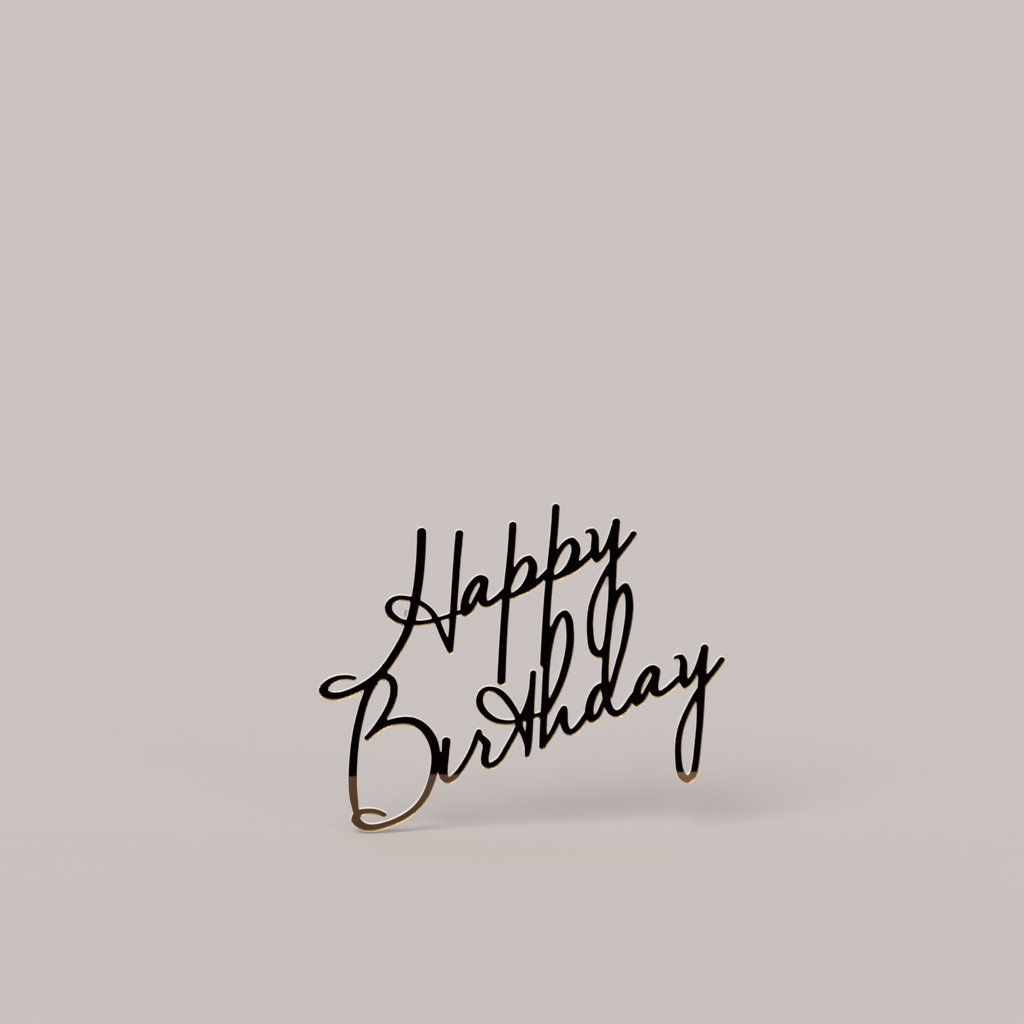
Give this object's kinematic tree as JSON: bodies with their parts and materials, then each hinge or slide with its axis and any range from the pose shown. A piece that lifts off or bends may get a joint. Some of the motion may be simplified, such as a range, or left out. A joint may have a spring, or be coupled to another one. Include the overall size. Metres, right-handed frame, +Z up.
{
  "type": "cake topper",
  "caption": "Front-facing cake topper: a joined-up script greeting cut from clear mirror-backed acrylic sheet, with pegs behind that push into the side of a cake.",
  "frame": {"origin": "on the back of the back paint, in the middle of the greeting, in the plane from which the pegs stand out", "axes": "+X to the right along the words as they are read, +Y from the face through the sheet towards the cake, +Z up"},
  "size_m": [0.1308, 0.0323, 0.1068],
  "materials": {
    "clear_acrylic": "polished clear cast acrylic",
    "gold_mirror": "gold mirror coat",
    "back_paint": "sprayed protective paint",
    "peg_acrylic": "extruded clear acrylic rod",
    "cement": "set clear cement"
  },
  "bodies": {
    "root": {"acrylic_sheet": "clear_acrylic", "mirror_coat": "gold_mirror", "back_paint": "back_paint", "peg_upper_left": "peg_acrylic", "peg_upper_right": "peg_acrylic", "peg_lower_left": "peg_acrylic", "peg_lower_middle": "peg_acrylic", "cement_pad_upper_left": "cement", "cement_pad_upper_right": "cement", "cement_pad_lower_left": "cement", "cement_pad_lower_middle": "cement"}
  },
  "joints": []
}
